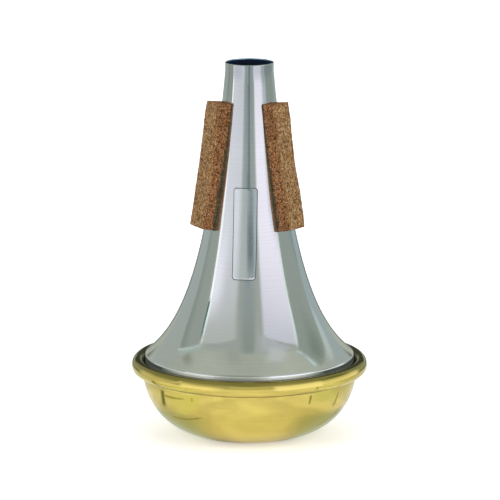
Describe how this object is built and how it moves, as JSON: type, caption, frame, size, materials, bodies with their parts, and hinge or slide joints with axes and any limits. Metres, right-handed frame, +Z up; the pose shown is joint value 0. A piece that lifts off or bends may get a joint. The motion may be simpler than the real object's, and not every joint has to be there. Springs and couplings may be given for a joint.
{
  "type": "trumpet straight mute",
  "caption": "Flared metal straight mute with a rolled-rim bowl at the wide end, an open narrow end and cork strips that hold it in the bell.",
  "frame": {"origin": "centre of the bowl's flat base, where the mute stands", "axes": "+Z up the mute's axis towards the open narrow end; -Y towards the plain stretch between the left and right cork strips"},
  "size_m": [0.108, 0.108, 0.172],
  "materials": {
    "horn": "spun and polished, fine turning lines",
    "bowl": "polished and lacquered",
    "cork": "cut agglomerated cork, matt",
    "cement": "dried contact cement"
  },
  "bodies": {
    "root": {"end_bowl": "bowl", "cone_body": "horn", "cork_cement_back": "cement", "cork_strip_back": "cork", "cork_cement_left": "cement", "cork_strip_left": "cork", "cork_cement_right": "cement", "cork_strip_right": "cork"}
  },
  "joints": []
}
